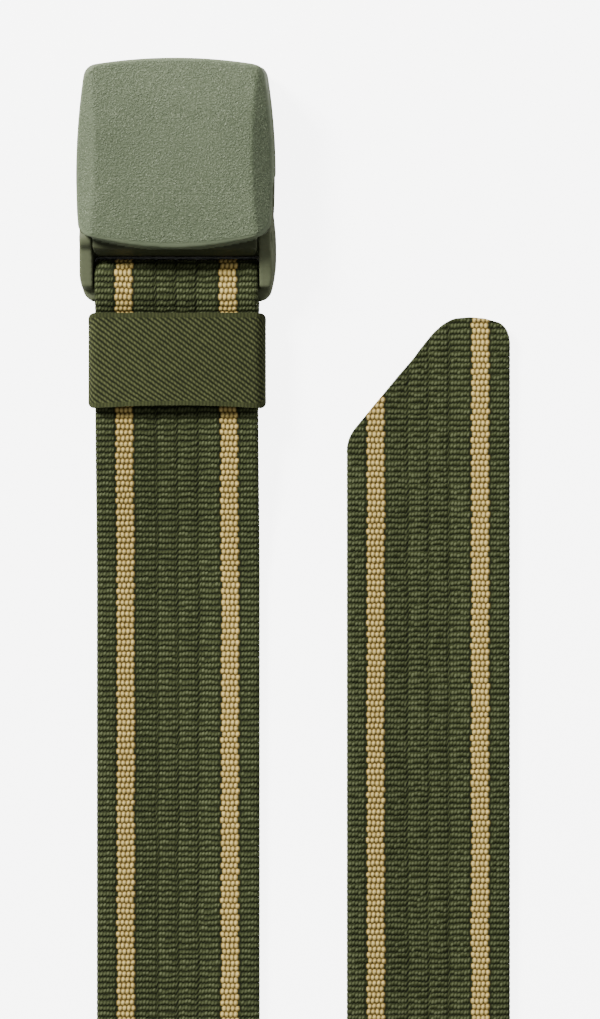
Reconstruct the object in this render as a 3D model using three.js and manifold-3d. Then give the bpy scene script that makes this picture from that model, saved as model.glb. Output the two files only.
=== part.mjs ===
// A web belt that lies flat: a striped woven strap folded round the end bar of a moulded cam-lever buckle,
// an elastic keeper behind the buckle, and a shaped tip. Millimetres, +Z up.
// The origin is the middle of the buckle's flat back. +Y runs from the strap towards the buckle's mouth,
// and the strap's tip lies beside the buckle at +X.
import * as THREE from "three";
import { mergeVertices } from "three/addons/utils/BufferGeometryUtils.js";
import Module from "manifold-3d";

// Driving dimensions: the webbing
const WEBBING_WIDTH = 38;
const WEBBING_THICKNESS = 2.4;
const WEBBING_EDGE = 0.7; // how far the woven edge is rounded off
const WEBBING_LENGTH = 1200; // the cut length, with the fold
const RUN_SPACING = 58.3; // between the middles of the two runs that lie side by side
const RAMP_LENGTH = 46; // the stretch that comes down from the keeper to the ground
const TWIST_LENGTH = 180; // the stretch that turns from flat to standing on its edge
const EDGE_RUN = 40; // the straight stretch that stands on its edge before the round bend

// Driving dimensions: the tip
const TIP_BEHIND_FRAME = 3.6; // from the buckle's end to the tip's furthest point
const TIP_SLANT_LENGTH = 28.2; // measured along the strap
const TIP_END_WIDTH = 15.6; // what the slant leaves of the strap's end
const TIP_BOW_RADIUS = 19; // the end bows out between the slant and the far corner
const TIP_BOW_MIDDLE = 9.3; // from the far edge to the furthest point
const TIP_CORNER = 4.4; // how far the two corners of the end are rounded
const TIP_HEEL = 3.2; // how far the blunt corner at the foot of the slant is rounded

// Driving dimensions: the keeper
const KEEPER_LENGTH = 22.3;
const KEEPER_WALL = 1.3;
const KEEPER_CORNER = 1.7;
const KEEPER_BEND = 1.4; // the inside radius where the band folds round the webbing's edges
const KEEPER_CROWN = 0.85; // how far the top panel bows up
const KEEPER_BEHIND_FRAME = 2.6;
const FLAP_SETBACK = 3.9; // the folded-back end stops this far short of the keeper's back edge

// Driving dimensions: the buckle's frame
const FRAME_BACK = 27.4; // from the origin to the end behind the bar
const BASE_THICKNESS = 2;
const BASE_INSET = 0.4; // how far the base stays inside the cover's outline
const BAR_WIDTH = 7.2;
const BAR_THICKNESS = 2.6;
const EAR_WALL = 3.5; // at the ears' widest point
const EAR_AHEAD = 7.9; // from the hinge to the ears' front edge
const EAR_FRONT_HEIGHT = 5.5;
const EAR_WIDEST = 3.6; // from the hinge back to the ears' widest point
const EAR_FRONT_RADIUS = 66;
const EAR_BACK_RADIUS = 34;
const EAR_DRAFT = 0.55; // how far the outer face leans in towards the top
const EAR_BACK_RISE = 1.9; // the ears' height above the feet where they end
const EAR_BACK_SLANT = 0.4;
const BOSS_WALL = 0.7; // round each stub's bore
const FOOT_LENGTH = 2.9;
const FOOT_CORNER = 3.3;
const RAIL_WALL = 1.1;
const RAIL_HEIGHT = 3;
const RAIL_SETBACK = 15; // from the cover's mouth edge to the rails' ends
const LIP_RISE = 1.6; // the base's lip lifts the tail over the fold
const LIP_LENGTH = 4.4;

// Driving dimensions: the buckle's lever
const HINGE_AHEAD = 8.6; // from the middle of the fold to the hinge
const HINGE_ABOVE = 4.4; // from the middle of the bar up to the hinge
const COVER_OVERHANG = 0.05; // how far the cover stands out past the ears on each side
const COVER_LENGTH = 44.3;
const COVER_BEHIND_HINGE = 2.3;
const COVER_WIDEST = 16.8; // from the cover's back edge to its widest point
const COVER_SIDE_RADIUS = 150;
const COVER_FRONT_RADIUS = 117;
const COVER_BACK_RADIUS = 71;
const COVER_CORNER = 3.4;
const COVER_CROWN_RADIUS = 230;
const COVER_HEIGHT = 4.2; // from its underside above the ears to the top of its crown
const COVER_SLOPE_WIDTH = 4.65; // each sloping side, halfway along the cover
const COVER_SLOPE = 35; // degrees that the two sloping sides lean
const COVER_WALL = 1.3;
const COVER_PLATE = 3; // the top's thickness over the hollow
const MOUTH_HEIGHT = 5.5; // the opening for the tail, above the base
const SKIRT_GAP = 4.1; // between the ears and the skirts' back ends
const SKIRT_SLANT = 2.6;
const HUB_RADIUS = 2.5;
const PINCH_GAP = 1.55; // between the closed cam and the fold
const TOOTH_DEPTH = 0.6;
const TOOTH_COUNT = 5;
const CAM_CORNER = 1.9;
const STUB_RADIUS = 1.4;

// Clearances
const LAYER_GAP = 0.3; // between the webbing and what it lies on or wraps
const FOLD_LIFT = 0.6; // between the fold and the ground
const SLOT_CLEARANCE = 0.4; // between the webbing's edges and the ears
const KEEPER_CLEARANCE = 0.3; // between the webbing's edges and the keeper
const KEEPER_HEADROOM = 0.65; // between the upper layer and the keeper's top panel at its sides
const HUB_CLEARANCE = 0.3; // between the hub's ends and the ears
const STUB_CLEARANCE = 0.3; // round the stubs in their bores
const STUB_RECESS = 0.2; // between each stub's end and the ear's outer face
const COVER_CLEARANCE = 0.4; // between the ears and the cover above them
const SKIRT_CLEARANCE = 0.6; // between the skirts and the base
const FOLD_CLEARANCE = 0.6; // between the base's lip and the fold

// Working values for cuts and joins
const CUT = 2; // how far a cutter reaches past what it cuts
const SINK = 0.5; // how far a joined piece is sunk into its neighbour
const LAYER_LEAD = 0.6; // the upper layer starts down this far in front of the lower one
const LAYER_REST = 1.5; // and reaches the keeper's height this far inside the keeper

// Worked-out places
const halfWidth = WEBBING_WIDTH / 2;
const halfThick = WEBBING_THICKNESS / 2;
const slotHalf = halfWidth + SLOT_CLEARANCE;
const barRadius = BAR_THICKNESS / 2;
const barFrontY = -FRAME_BACK + BAR_WIDTH;
const foldY = barFrontY - barRadius;
const foldRadius = barRadius + LAYER_GAP + halfThick;
const foldOuter = foldRadius + halfThick;
const barZ = FOLD_LIFT + foldOuter;
const keeperFrontY = -FRAME_BACK - KEEPER_BEHIND_FRAME;
const keeperBackY = keeperFrontY - KEEPER_LENGTH;
const flapZ = KEEPER_WALL + LAYER_GAP + halfThick;
const upperZ = flapZ + WEBBING_THICKNESS + LAYER_GAP;
const flapEndY = keeperBackY + FLAP_SETBACK;
const rampEndY = flapEndY - RAMP_LENGTH;
const tipY = -FRAME_BACK - TIP_BEHIND_FRAME;
const bendRadius = RUN_SPACING / 2;
// An eased climb is longer than its plan by about this much.
const climbExtra = (height, run) => (0.6 * height ** 2) / run;
const layersExtra =
  climbExtra(flapZ - barZ + foldRadius, KEEPER_BEHIND_FRAME + barRadius) +
  climbExtra(barZ + foldRadius - upperZ, KEEPER_BEHIND_FRAME + barRadius) +
  climbExtra(upperZ - halfThick, RAMP_LENGTH) +
  2 * climbExtra(halfWidth - halfThick, TWIST_LENGTH);
const foldLength = foldY - flapEndY + Math.PI * foldRadius;
const planLength = WEBBING_LENGTH - foldLength - layersExtra - Math.PI * bendRadius;
const bendY = (foldY + tipY - planLength) / 2;
const standY = bendY + EDGE_RUN;
const flatY = standY + TWIST_LENGTH;
const hingeY = foldY + HINGE_AHEAD;
const hingeZ = barZ + HINGE_ABOVE;
const camRadius = Math.hypot(HINGE_AHEAD, HINGE_ABOVE) - foldOuter - PINCH_GAP;
const bossRadius = STUB_RADIUS + STUB_CLEARANCE + BOSS_WALL;
const earHalf = slotHalf + EAR_WALL;
const earTop = hingeZ + bossRadius;
const earFrontY = hingeY + EAR_AHEAD;
const earWidestY = hingeY - EAR_WIDEST;
const footTop = barZ + barRadius;
const coverHalf = earHalf + COVER_OVERHANG;
const coverUnder = earTop + COVER_CLEARANCE;
const coverTop = coverUnder + COVER_HEIGHT;
const coverBackY = hingeY - COVER_BEHIND_HINGE;
const coverFrontY = coverBackY + COVER_LENGTH;
const coverWidestY = coverBackY + COVER_WIDEST;
const skirtBackY = earFrontY + SKIRT_GAP;
const skirtLow = BASE_THICKNESS + SKIRT_CLEARANCE;

const degrees = THREE.MathUtils.degToRad;
const { lerp, smoothstep } = THREE.MathUtils;
const eased = (value, from, to) => smoothstep((value - from) / (to - from), 0, 1);

const wasm = await Module();
wasm.setup();

// A closed geometry becomes a solid for joining and cutting, and the finished solid comes back as a mesh.
function solid(geometry) {
  const bare = geometry.clone();
  bare.deleteAttribute("normal");
  bare.deleteAttribute("uv");
  const merged = mergeVertices(bare, 1e-4);
  return new wasm.Manifold(
    new wasm.Mesh({
      numProp: 3,
      vertProperties: merged.attributes.position.array,
      triVerts: new Uint32Array(merged.index.array),
    }),
  );
}

function mesh(name, shape, material) {
  const data = shape.getMesh();
  const geometry = new THREE.BufferGeometry();
  geometry.setAttribute("position", new THREE.BufferAttribute(data.vertProperties, 3));
  geometry.setIndex(new THREE.BufferAttribute(data.triVerts, 1));
  geometry.computeVertexNormals();
  const part = new THREE.Mesh(geometry, material);
  part.name = name;
  return part;
}

const join = (...shapes) => shapes.reduce((sum, next) => sum.add(next));
const polygon = (points) => new THREE.Shape(points.map(([u, v]) => new THREE.Vector2(u, v)));

function extrude(shape, depth, curveSegments) {
  return new THREE.ExtrudeGeometry(shape, { depth, bevelEnabled: false, curveSegments });
}

// A plan outline in X and Y, raised from one height to another.
function raise(shape, low, high, segments) {
  return solid(extrude(shape, high - low, segments).translate(0, 0, low));
}

// A side outline in Y and Z, drawn out along X to both sides of the middle.
function across(shape, half, segments) {
  const turn = new THREE.Matrix4().set(0, 0, 1, -half, 1, 0, 0, 0, 0, 1, 0, 0, 0, 0, 0, 1);
  return solid(extrude(shape, 2 * half, segments).applyMatrix4(turn));
}

// An end outline in X and Z, drawn out along Y.
function along(shape, from, to, segments) {
  const turn = new THREE.Matrix4().set(1, 0, 0, 0, 0, 0, -1, to, 0, 1, 0, 0, 0, 0, 0, 1);
  return solid(extrude(shape, to - from, segments).applyMatrix4(turn));
}

function block(lowX, lowY, lowZ, highX, highY, highZ) {
  const box = new THREE.BoxGeometry(highX - lowX, highY - lowY, highZ - lowZ);
  return solid(box.translate((lowX + highX) / 2, (lowY + highY) / 2, (lowZ + highZ) / 2));
}

// A round bar on the hinge's line.
function hingeBar(radius, half) {
  const rod = new THREE.CylinderGeometry(radius, radius, 2 * half, 24).rotateZ(Math.PI / 2);
  return solid(rod.translate(0, hingeY, hingeZ));
}

function roundedPlan(half, lowY, highY, radius) {
  const outline = new THREE.Shape();
  outline.absarc(-half + radius, lowY + radius, radius, Math.PI, 1.5 * Math.PI, false);
  outline.absarc(half - radius, lowY + radius, radius, 1.5 * Math.PI, 2 * Math.PI, false);
  outline.absarc(half - radius, highY - radius, radius, 0, 0.5 * Math.PI, false);
  outline.absarc(-half + radius, highY - radius, radius, 0.5 * Math.PI, Math.PI, false);
  return outline;
}

// The webbing follows a row of stations. Each holds its middle and the direction across its width.
const stations = [];

function station(x, y, z, lean = 0, side = 1) {
  const wide = new THREE.Vector3(side * Math.cos(lean), 0, Math.sin(lean));
  stations.push({ middle: new THREE.Vector3(x, y, z), wide });
}

function steps(from, to, count, place) {
  for (let i = 0; i <= count; i++) place(lerp(from, to, i / count));
}

// Each layer changes height just behind the bar, where the bar's rounded edge gives it room.
const layerTurn = -FRAME_BACK + barRadius;
const upperTurn = layerTurn + LAYER_LEAD;
const upperRest = keeperFrontY - LAYER_REST;

// The folded-back end rises from under the bar to lie on the keeper's lower panel.
const flapHeight = (y) => lerp(barZ - foldRadius, flapZ, eased(y, layerTurn, keeperFrontY));

// The upper layer comes down from the bar to the keeper, and behind the folded-back end to the ground.
function upperHeight(y) {
  const aboveKeeper = lerp(barZ + foldRadius, upperZ, eased(y, upperTurn, upperRest));
  return lerp(aboveKeeper, halfThick, eased(y, flapEndY, rampEndY));
}

// While it twists, the webbing leans up on its outer edge, which stays on the ground.
const leanAt = (y) => (Math.PI / 2) * eased(y, flatY, standY);
const leanHeight = (lean) => halfWidth * Math.sin(lean) + halfThick * Math.cos(lean);

station(0, flapEndY, flapZ);
steps(keeperFrontY, layerTurn, 6, (y) => station(0, y, flapHeight(y)));
steps(-90, 90, 12, (angle) => {
  const turn = degrees(angle);
  station(0, foldY + foldRadius * Math.cos(turn), barZ + foldRadius * Math.sin(turn));
});
steps(upperTurn, upperRest, 8, (y) => station(0, y, upperHeight(y)));
steps(flapEndY, rampEndY, 12, (y) => station(0, y, upperHeight(y)));
steps(flatY, standY, 20, (y) => station(0, y, leanHeight(leanAt(y)), leanAt(y)));
steps(180, 360, 20, (angle) => {
  const turn = degrees(angle);
  const x = bendRadius + bendRadius * Math.cos(turn);
  station(x, bendY + bendRadius * Math.sin(turn), halfWidth, Math.PI / 2);
});
steps(standY, flatY, 20, (y) => station(RUN_SPACING, y, leanHeight(leanAt(y)), leanAt(y), -1));
station(RUN_SPACING, tipY + CUT, halfThick, 0, -1);

// One ring of points round the webbing, with its woven edges rounded off.
const flatHalf = halfWidth - WEBBING_EDGE;
const edgeHalf = halfThick - WEBBING_EDGE;
const webbingRing = [
  [-flatHalf, -halfThick],
  [flatHalf, -halfThick],
  [halfWidth, -edgeHalf],
  [halfWidth, edgeHalf],
  [flatHalf, halfThick],
  [-flatHalf, halfThick],
  [-halfWidth, edgeHalf],
  [-halfWidth, -edgeHalf],
];

// The ring is set square to the route at every station, and each ring is joined to the next.
function sweep(route, ring) {
  const points = [];
  const faces = [];
  const sides = ring.length;
  route.forEach(({ middle, wide }, i) => {
    const before = route[Math.max(i - 1, 0)].middle;
    const after = route[Math.min(i + 1, route.length - 1)].middle;
    const forward = after.clone().sub(before).normalize();
    const square = wide.clone().addScaledVector(forward, -wide.dot(forward)).normalize();
    const face = forward.clone().cross(square);
    for (const [u, v] of ring) {
      points.push(...middle.clone().addScaledVector(square, u).addScaledVector(face, v));
    }
  });
  const last = (route.length - 1) * sides;
  for (let k = 0; k < sides; k++) {
    const next = (k + 1) % sides;
    for (let row = 0; row < last; row += sides) {
      const above = row + sides;
      faces.push(row + k, row + next, above + next, row + k, above + next, above + k);
    }
    if (k > 0 && next > 0) faces.push(0, next, k, last, last + k, last + next);
  }
  const geometry = new THREE.BufferGeometry();
  geometry.setAttribute("position", new THREE.Float32BufferAttribute(points, 3));
  geometry.setIndex(faces);
  return solid(geometry);
}

// What is cut away at the tip: all that lies beyond its slant, its bowed end and its rounded corners.
function tipWaste() {
  const left = RUN_SPACING - halfWidth;
  const right = RUN_SPACING + halfWidth;
  const far = tipY + 2 * CUT;
  const bowX = right - TIP_BOW_MIDDLE;
  const bowY = (x) => tipY - TIP_BOW_RADIUS + Math.sqrt(TIP_BOW_RADIUS ** 2 - (x - bowX) ** 2);
  const heel = new THREE.Vector2(left, tipY - TIP_SLANT_LENGTH);
  const peak = new THREE.Vector2(right - TIP_END_WIDTH, bowY(right - TIP_END_WIDTH));
  const slant = peak.clone().sub(heel).normalize();
  const heelEnd = heel.clone().addScaledVector(slant, TIP_HEEL);
  const peakStart = peak.clone().addScaledVector(slant, -TIP_CORNER);
  const bowStart = peak.x + TIP_CORNER / 2;
  const bowEnd = right - TIP_CORNER / 2;
  const waste = new THREE.Shape();
  waste.moveTo(left - CUT, heel.y - TIP_HEEL);
  waste.lineTo(left, heel.y - TIP_HEEL);
  waste.quadraticCurveTo(heel.x, heel.y, heelEnd.x, heelEnd.y);
  waste.lineTo(peakStart.x, peakStart.y);
  waste.quadraticCurveTo(peak.x, peak.y, bowStart, bowY(bowStart));
  steps(bowStart, bowEnd, 6, (x) => waste.lineTo(x, bowY(x)));
  waste.quadraticCurveTo(right, bowY(bowEnd) - TIP_CORNER / 4, right, bowY(bowEnd) - TIP_CORNER);
  waste.lineTo(right + CUT, bowY(bowEnd) - TIP_CORNER);
  waste.lineTo(right + CUT, far);
  waste.lineTo(left - CUT, far);
  return raise(waste, -CUT, WEBBING_THICKNESS + CUT, 6);
}

const webbing = () => sweep(stations, webbingRing).subtract(tipWaste());

// The keeper's band in the X and Z plane, drawn out from its hollow by grow, with its top panel bowed up.
function bandOutline(grow) {
  const half = halfWidth + KEEPER_CLEARANCE + grow;
  const low = KEEPER_WALL - grow;
  const high = upperZ + halfThick + KEEPER_HEADROOM + grow;
  const bend = KEEPER_BEND + grow;
  const outline = new THREE.Shape();
  outline.absarc(-half + bend, low + bend, bend, Math.PI, 1.5 * Math.PI, false);
  outline.absarc(half - bend, low + bend, bend, 1.5 * Math.PI, 2 * Math.PI, false);
  outline.absarc(half - bend, high - bend, bend, 0, 0.5 * Math.PI, false);
  outline.quadraticCurveTo(0, high + 2 * KEEPER_CROWN, -half + bend, high);
  outline.absarc(-half + bend, high - bend, bend, 0.5 * Math.PI, Math.PI, false);
  return outline;
}

function keeper() {
  const half = halfWidth + KEEPER_CLEARANCE + KEEPER_WALL;
  const highest = upperZ + halfThick + KEEPER_HEADROOM + KEEPER_WALL + KEEPER_CROWN;
  const band = along(bandOutline(KEEPER_WALL), keeperBackY, keeperFrontY, 6);
  const hollow = along(bandOutline(0), keeperBackY - CUT, keeperFrontY + CUT, 6);
  const plan = roundedPlan(half, keeperBackY, keeperFrontY, KEEPER_CORNER);
  return band.subtract(hollow).intersect(raise(plan, -CUT, highest + CUT, 4));
}

// Where a side arc about (sideX, coverWidestY) meets an end arc about (0, endY), on the right-hand side.
function crossing(sideX, sideRadius, endY, endRadius, towards) {
  const apart = new THREE.Vector2(-sideX, endY - coverWidestY);
  const distance = apart.length();
  const reach = (sideRadius ** 2 - endRadius ** 2 + distance ** 2) / (2 * distance);
  const offset = Math.sqrt(sideRadius ** 2 - reach ** 2) * towards;
  const unit = apart.divideScalar(distance);
  return new THREE.Vector2(
    sideX + unit.x * reach - unit.y * offset,
    coverWidestY + unit.y * reach + unit.x * offset,
  );
}

// The cover's plan outline, drawn in by inset: four bowed sides and four rounded corners.
// A corner's middle is where the two arcs beside it, drawn in by the corner's radius, cross.
function coverOutline(inset) {
  const corner = COVER_CORNER;
  const sideX = coverHalf - COVER_SIDE_RADIUS;
  const frontY = coverFrontY - COVER_FRONT_RADIUS;
  const backY = coverBackY + COVER_BACK_RADIUS;
  const front = crossing(sideX, COVER_SIDE_RADIUS - corner, frontY, COVER_FRONT_RADIUS - corner, 1);
  const back = crossing(sideX, COVER_SIDE_RADIUS - corner, backY, COVER_BACK_RADIUS - corner, -1);
  const sideFront = Math.atan2(front.y - coverWidestY, front.x - sideX);
  const sideBack = Math.atan2(back.y - coverWidestY, back.x - sideX);
  const endFront = Math.atan2(front.y - frontY, front.x);
  const endBack = Math.atan2(back.y - backY, back.x);
  const half = Math.PI;
  const outline = new THREE.Shape();
  outline.absarc(sideX, coverWidestY, COVER_SIDE_RADIUS - inset, sideBack, sideFront, false);
  outline.absarc(front.x, front.y, corner - inset, sideFront, endFront, false);
  outline.absarc(0, frontY, COVER_FRONT_RADIUS - inset, endFront, half - endFront, false);
  outline.absarc(-front.x, front.y, corner - inset, half - endFront, half - sideFront, false);
  outline.absarc(-sideX, coverWidestY, COVER_SIDE_RADIUS - inset, half - sideFront, half - sideBack, false);
  outline.absarc(-back.x, back.y, corner - inset, half - sideBack, half - endBack, false);
  outline.absarc(0, backY, COVER_BACK_RADIUS - inset, -half - endBack, endBack, false);
  outline.absarc(back.x, back.y, corner - inset, endBack, sideBack, false);
  return outline;
}

// The cover's top is a gentle arc along Y.
function coverCrown() {
  const reach = Math.asin((COVER_LENGTH / 2 + CUT) / COVER_CROWN_RADIUS);
  const middleY = (coverFrontY + coverBackY) / 2;
  const upright = Math.PI / 2;
  const outline = new THREE.Shape();
  outline.moveTo(coverBackY - CUT, 0);
  outline.lineTo(coverFrontY + CUT, 0);
  outline.absarc(
    middleY,
    coverTop - COVER_CROWN_RADIUS,
    COVER_CROWN_RADIUS,
    upright - reach,
    upright + reach,
    false,
  );
  return across(outline, coverHalf + CUT, 12);
}

// A sloping plane cuts each side of the cover, so its ridges bow with the crown.
function coverSlopes() {
  const fall = Math.tan(degrees(COVER_SLOPE));
  const wide = coverHalf + CUT;
  const ridge = coverHalf - COVER_SLOPE_WIDTH;
  const wideZ = coverTop - (wide - ridge) * fall;
  const narrow = ridge - CUT / fall;
  const section = [
    [-wide, 0],
    [wide, 0],
    [wide, wideZ],
    [narrow, coverTop + CUT],
    [-narrow, coverTop + CUT],
    [-wide, wideZ],
  ];
  return along(polygon(section), coverBackY - CUT, coverFrontY + CUT);
}

// The hub and its toothed cam, seen from the side, by direction and by share of the cam's radius.
const camHeel = [
  { share: 0.88, angle: 172 },
  { share: 0.95, angle: 184 },
];
const TOOTH_START = 194; // degrees
const TOOTH_PITCH = 9;
const HUB_START = 265; // where the round hub takes over from the cam
const HUB_END = 400;
const NECK_FRONT = 1.5; // the neck up to the cover, in shares of the hub's radius
const NECK_BACK = 0.9;

function camOutline() {
  const points = [];
  const add = (radius, angle) => {
    const turn = degrees(angle);
    points.push([hingeY + radius * Math.cos(turn), hingeZ + radius * Math.sin(turn)]);
  };
  for (const { share, angle } of camHeel) add(share * camRadius, angle);
  for (let tooth = 0; tooth <= TOOTH_COUNT; tooth++) {
    const angle = TOOTH_START + tooth * TOOTH_PITCH;
    add(camRadius, angle);
    add(camRadius - TOOTH_DEPTH, angle + TOOTH_PITCH / 2);
  }
  steps(HUB_START, HUB_END, 8, (angle) => add(HUB_RADIUS, angle));
  points.push([hingeY + NECK_FRONT * HUB_RADIUS, coverUnder + SINK]);
  points.push([hingeY - NECK_BACK * HUB_RADIUS, coverUnder + SINK]);
  return polygon(points);
}

function lever() {
  const wide = coverHalf + CUT;
  const far = coverFrontY + CUT;
  const shell = raise(coverOutline(0), 0, coverTop + CUT, 24).intersect(coverCrown()).intersect(coverSlopes());
  // Below the cover's plate only the skirts stay, and they end in a slant in front of the ears.
  const belowPlate = polygon([
    [far, -CUT],
    [far, skirtLow],
    [skirtBackY + SKIRT_SLANT, skirtLow],
    [skirtBackY, coverUnder],
    [coverBackY - CUT, coverUnder],
    [coverBackY - CUT, -CUT],
  ]);
  const ceiling = coverTop - COVER_PLATE;
  const hollow = raise(coverOutline(COVER_WALL), -CUT, ceiling, 24);
  const hollowReach = block(-wide, skirtBackY, -CUT, wide, far, ceiling + CUT);
  const mouthBack = coverFrontY - COVER_CORNER - COVER_WALL;
  const mouth = block(-slotHalf, mouthBack, -CUT, slotHalf, far, BASE_THICKNESS + MOUTH_HEIGHT);
  const hubHalf = slotHalf - HUB_CLEARANCE;
  const hubPlan = roundedPlan(hubHalf, hingeY - camRadius, hingeY + 2 * camRadius, CAM_CORNER);
  const hub = across(camOutline(), hubHalf).intersect(raise(hubPlan, 0, coverTop, 4));
  const plate = shell
    .subtract(across(belowPlate, wide))
    .subtract(hollow.intersect(hollowReach))
    .subtract(mouth);
  return join(plate, hub, hingeBar(STUB_RADIUS, earHalf - EAR_DRAFT - STUB_RECESS));
}

// The ears and feet, seen from the side. The front edge runs straight onto the round boss.
const BOSS_END = 156; // degrees round the boss where the ear's back slope leaves it

function earOutline() {
  const corner = new THREE.Vector2(EAR_AHEAD, EAR_FRONT_HEIGHT - hingeZ);
  const tangent = Math.atan2(corner.y, corner.x) + Math.acos(bossRadius / corner.length());
  const footFrontY = -FRAME_BACK + FOOT_LENGTH;
  const outline = new THREE.Shape();
  outline.moveTo(-FRAME_BACK, 0);
  outline.lineTo(earFrontY, 0);
  outline.lineTo(earFrontY, EAR_FRONT_HEIGHT);
  outline.absarc(hingeY, hingeZ, bossRadius, tangent, degrees(BOSS_END), false);
  outline.lineTo(footFrontY + EAR_BACK_SLANT, footTop + EAR_BACK_RISE);
  outline.lineTo(footFrontY, footTop);
  outline.lineTo(-FRAME_BACK, footTop);
  return outline;
}

// The plan that trims the ears: bowed sides that are widest beside the fold, and rounded back corners.
function earPlan() {
  const frontX = earHalf - EAR_FRONT_RADIUS;
  const backX = earHalf - EAR_BACK_RADIUS;
  const cornerY = -FRAME_BACK + FOOT_CORNER;
  const backTurn = Math.asin((cornerY - earWidestY) / (EAR_BACK_RADIUS - FOOT_CORNER));
  const cornerX = backX + (EAR_BACK_RADIUS - FOOT_CORNER) * Math.cos(backTurn);
  const frontTurn = Math.asin((earFrontY - earWidestY) / EAR_FRONT_RADIUS);
  const half = Math.PI;
  const outline = new THREE.Shape();
  outline.absarc(cornerX, cornerY, FOOT_CORNER, -half / 2, backTurn, false);
  outline.absarc(backX, earWidestY, EAR_BACK_RADIUS, backTurn, 0, false);
  outline.absarc(frontX, earWidestY, EAR_FRONT_RADIUS, 0, frontTurn, false);
  outline.absarc(-frontX, earWidestY, EAR_FRONT_RADIUS, half - frontTurn, half, false);
  outline.absarc(-backX, earWidestY, EAR_BACK_RADIUS, half, half - backTurn, false);
  outline.absarc(-cornerX, cornerY, FOOT_CORNER, half - backTurn, 1.5 * half, false);
  return outline;
}

// The ears' outer faces lean in towards the top.
function earDraft() {
  const section = [
    [-earHalf, 0],
    [earHalf, 0],
    [earHalf - EAR_DRAFT, earTop],
    [-earHalf + EAR_DRAFT, earTop],
  ];
  return along(polygon(section), -FRAME_BACK - CUT, earFrontY + CUT);
}

function endBar() {
  const outline = new THREE.Shape();
  outline.absarc(foldY, barZ, barRadius, -Math.PI / 2, Math.PI / 2, false);
  outline.absarc(-FRAME_BACK + barRadius, barZ, barRadius, Math.PI / 2, 1.5 * Math.PI, false);
  return across(outline, slotHalf + SINK, 5);
}

// The base's lip, seen from the side, climbs towards the fold.
function lip() {
  const lipY = foldY + foldOuter + FOLD_CLEARANCE;
  const profile = [
    [lipY, 0],
    [lipY + 2 * LIP_LENGTH, 0],
    [lipY + 2 * LIP_LENGTH, BASE_THICKNESS],
    [lipY + LIP_LENGTH, BASE_THICKNESS],
    [lipY, BASE_THICKNESS + LIP_RISE],
  ];
  return across(polygon(profile), slotHalf + SINK);
}

function rail(x) {
  const low = BASE_THICKNESS - SINK;
  const high = BASE_THICKNESS + RAIL_HEIGHT;
  return block(x, earFrontY - SINK, low, x + RAIL_WALL, coverFrontY - RAIL_SETBACK, high);
}

function frame() {
  const wide = earHalf + CUT;
  const slot = block(-slotHalf, -FRAME_BACK - CUT, -CUT, slotHalf, earFrontY + CUT, earTop + CUT);
  const ears = across(earOutline(), wide, 8)
    .subtract(slot)
    .intersect(raise(earPlan(), -CUT, earTop + CUT, 8))
    .intersect(earDraft());
  const base = raise(coverOutline(BASE_INSET), 0, BASE_THICKNESS, 12);
  const rails = [rail(-slotHalf - RAIL_WALL), rail(slotHalf)];
  const bores = hingeBar(STUB_RADIUS + STUB_CLEARANCE, wide);
  return join(ears, base, lip(), endBar(), ...rails).subtract(bores);
}

const sageCover = new THREE.MeshStandardMaterial({ color: 0x7c8770, roughness: 0.6, metalness: 0 });
const sageFrame = new THREE.MeshStandardMaterial({ color: 0x646950, roughness: 0.5, metalness: 0 });
const oliveWeave = new THREE.MeshStandardMaterial({ color: 0x454b30, roughness: 0.9, metalness: 0 });
const oliveElastic = new THREE.MeshStandardMaterial({ color: 0x505537, roughness: 0.95, metalness: 0 });

const belt = new THREE.Group();
belt.add(mesh("webbing", webbing(), oliveWeave));
belt.add(mesh("keeper", keeper(), oliveElastic));
belt.add(mesh("buckle_frame", frame(), sageFrame));
belt.add(mesh("buckle_lever", lever(), sageCover));

export default belt;
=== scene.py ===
# %% [markdown]
# # A canvas web belt with a cam-lever buckle
# The belt is one long woven strap, folded round the bar of a moulded buckle and laid out flat, with an
# elastic keeper behind the buckle and a slanted free tip. The solids of the packed model are the frame
# that everything here is built round. We load them first, and keep the size of their box, so that we
# can check at the end that the dressed belt has stayed inside it.

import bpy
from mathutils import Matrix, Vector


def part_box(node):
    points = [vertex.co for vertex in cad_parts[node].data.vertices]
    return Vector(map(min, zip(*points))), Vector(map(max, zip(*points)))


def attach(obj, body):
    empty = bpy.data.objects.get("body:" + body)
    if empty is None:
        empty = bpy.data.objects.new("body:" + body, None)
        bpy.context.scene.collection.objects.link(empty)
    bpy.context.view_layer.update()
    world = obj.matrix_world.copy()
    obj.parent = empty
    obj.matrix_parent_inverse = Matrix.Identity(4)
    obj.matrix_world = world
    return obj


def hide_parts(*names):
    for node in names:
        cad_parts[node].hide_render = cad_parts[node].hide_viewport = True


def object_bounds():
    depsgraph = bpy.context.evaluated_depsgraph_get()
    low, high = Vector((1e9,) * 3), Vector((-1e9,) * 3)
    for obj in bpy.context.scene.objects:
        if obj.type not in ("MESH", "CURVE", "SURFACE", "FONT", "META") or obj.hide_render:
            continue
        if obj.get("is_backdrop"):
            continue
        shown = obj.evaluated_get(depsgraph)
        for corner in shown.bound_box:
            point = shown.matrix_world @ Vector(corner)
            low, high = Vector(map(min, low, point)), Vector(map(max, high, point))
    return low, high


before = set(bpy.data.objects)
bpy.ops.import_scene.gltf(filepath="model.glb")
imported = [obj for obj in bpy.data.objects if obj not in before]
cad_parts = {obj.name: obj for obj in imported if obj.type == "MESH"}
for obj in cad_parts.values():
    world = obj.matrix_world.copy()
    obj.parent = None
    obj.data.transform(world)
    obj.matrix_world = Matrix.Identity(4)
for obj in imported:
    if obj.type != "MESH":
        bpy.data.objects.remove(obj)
cad_low, cad_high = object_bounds()
print("frame nodes:", ", ".join(sorted(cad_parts)))
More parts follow.
